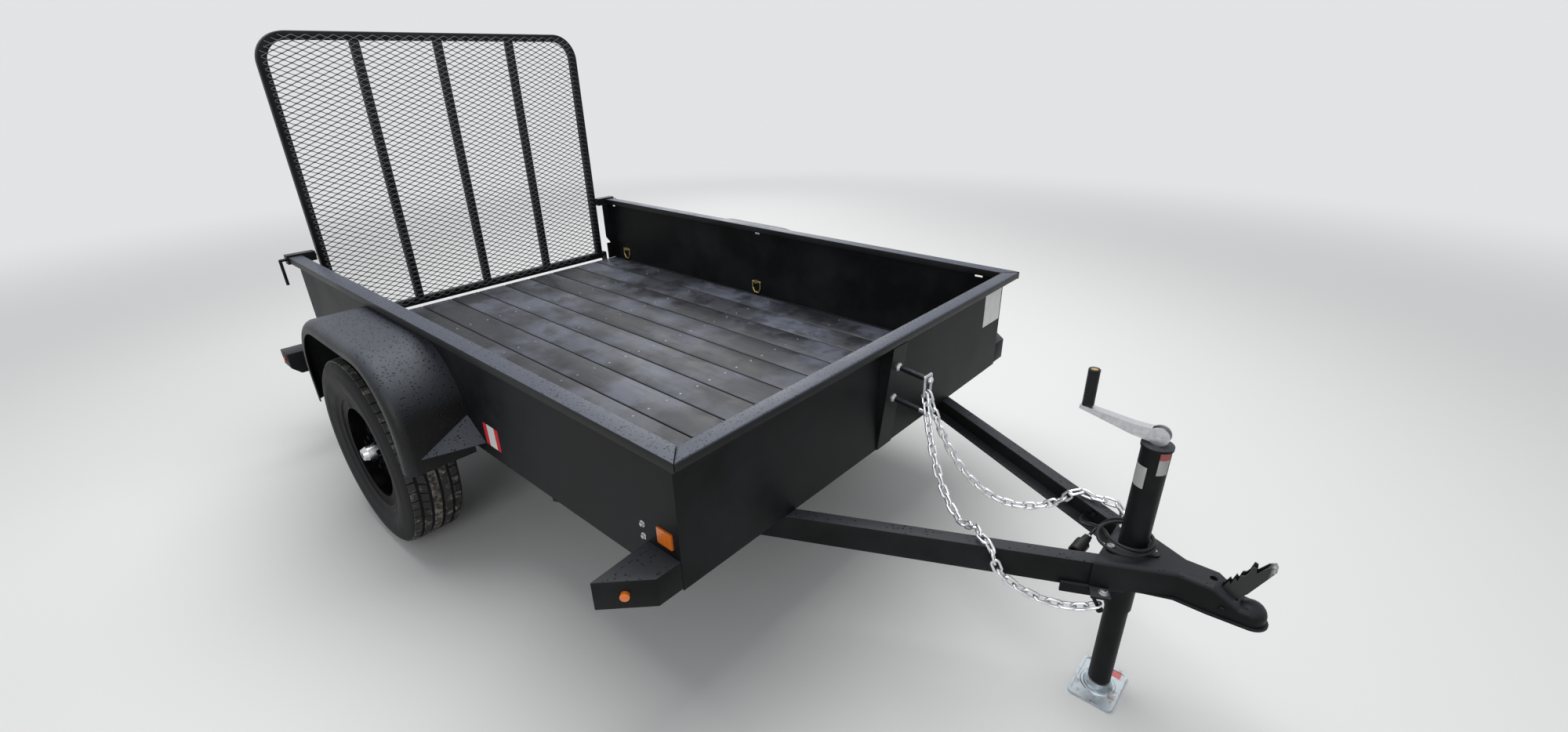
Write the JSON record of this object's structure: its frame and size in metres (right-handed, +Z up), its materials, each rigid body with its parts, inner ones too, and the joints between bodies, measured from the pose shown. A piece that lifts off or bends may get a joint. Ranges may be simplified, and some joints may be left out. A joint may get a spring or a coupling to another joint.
{
  "type": "utility trailer",
  "caption": "Single-axle utility trailer with solid sides, a plank deck, an upright mesh ramp gate, round-cornered fenders and an A-frame tongue with coupler, chains and parking jack.",
  "frame": {"origin": "on the ground under the middle of the trailer's overall length and width", "axes": "+X forward towards the coupler, +Y to the left, +Z up"},
  "size_m": [3.5002, 2.004, 1.702],
  "materials": {
    "black_paint": "satin powder coat",
    "zinc": "bright zinc plate",
    "spring_steel": "dull black",
    "plank": "dark wet timber",
    "tyre": "rubber",
    "chrome": "polished",
    "amber": "clear gloss",
    "red_lens": "clear gloss",
    "rubber": "matt",
    "brass": "dull"
  },
  "bodies": {
    "frame": {"axle": "black_paint", "chain_eyes": "zinc", "chain_shackle": "zinc", "coupler": "black_paint", "coupler_latch": "black_paint", "fender_left": "black_paint", "fender_right": "black_paint", "floor_crossmembers": "black_paint", "floor_planks": "plank", "front_panel": "black_paint", "gate_lugs": "black_paint", "jack_bolts": "zinc", "jack_tube": "black_paint", "latch_pins": "zinc", "latch_tubes": "black_paint", "leaf_springs": "spring_steel", "marker_housings": "black_paint", "marker_lamps": "amber", "perimeter_angles": "black_paint", "rear_posts": "black_paint", "rear_sill": "black_paint", "safety_chain_left": "zinc", "safety_chain_right": "zinc", "side_panel_left": "black_paint", "side_panel_right": "black_paint", "side_reflectors": "amber", "spare_bracket": "black_paint", "spare_studs": "zinc", "spring_hangers": "black_paint", "stud_sleeves": "black_paint", "tail_boxes": "black_paint", "tail_lamps": "red_lens", "tie_down_rings": "brass", "tongue_rail_left": "black_paint", "tongue_rail_right": "black_paint", "top_rim_front": "black_paint", "top_rim_left": "black_paint", "top_rim_right": "black_paint", "wiring_cable": "rubber", "wiring_grommet": "rubber", "wiring_plug": "rubber"},
    "gate": {"gate_frame": "black_paint", "gate_bars": "black_paint", "gate_mesh": "black_paint", "gate_pins": "zinc"},
    "jack_leg": {"jack_leg": "black_paint", "jack_foot": "zinc"},
    "jack_crank": {"jack_crank": "zinc", "crank_grip": "rubber"},
    "wheel_right": {"tyre_right": "tyre", "wheel_right": "black_paint", "hub_right": "chrome"},
    "wheel_left": {"tyre_left": "tyre", "wheel_left": "black_paint", "hub_left": "chrome"}
  },
  "joints": [
    {"name": "wheel_right_spin", "type": "hinge", "parent": "frame", "child": "wheel_right", "pos_m": [-0.7231, -0.906, 0.343], "axis": [0, 1, 0], "continuous": true},
    {"name": "wheel_left_spin", "type": "hinge", "parent": "frame", "child": "wheel_left", "pos_m": [-0.7231, 0.906, 0.343], "axis": [0, 1, 0], "continuous": true},
    {"name": "gate_hinge", "type": "hinge", "parent": "frame", "child": "gate", "pos_m": [-1.7321, 0, 0.519], "axis": [0, -1, 0], "range_deg": [0, 112]},
    {"name": "jack_slide", "type": "slide", "parent": "frame", "child": "jack_leg", "axis": [0, 0, 1], "range_m": [-0.08, 0.235]},
    {"name": "crank_turn", "type": "hinge", "parent": "frame", "child": "jack_crank", "pos_m": [1.4579, 0, 0.76], "axis": [0, 0, 1], "continuous": true}
  ]
}
